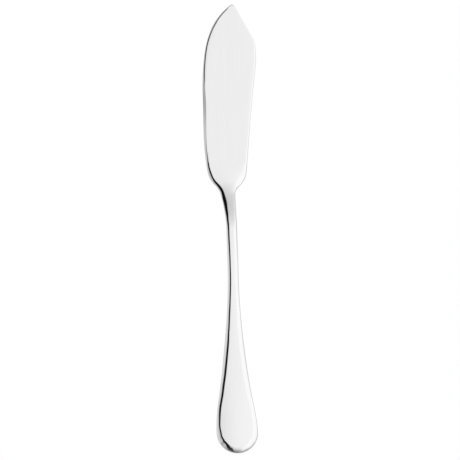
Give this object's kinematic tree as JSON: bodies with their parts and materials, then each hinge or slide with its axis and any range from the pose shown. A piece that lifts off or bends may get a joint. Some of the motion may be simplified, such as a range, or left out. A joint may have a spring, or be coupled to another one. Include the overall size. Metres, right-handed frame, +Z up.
{
  "type": "fish knife",
  "caption": "Fish knife with a flat, blunt-edged blade that has a clipped point, a drawn-in neck and a slim polished handle that widens to a round end, for parting and lifting fish.",
  "frame": {"origin": "on the table under the blade's heel, on the handle's axis", "axes": "+Y along the knife towards the blade's tip, +X towards the blade's spine, +Z up from the table"},
  "size_m": [0.0248, 0.2049, 0.0053],
  "materials": {
    "blade_steel": "polished",
    "handle_steel": "polished",
    "braze_metal": "satin"
  },
  "bodies": {
    "root": {"blade": "blade_steel", "handle": "handle_steel", "braze_joint": "braze_metal"}
  },
  "joints": []
}
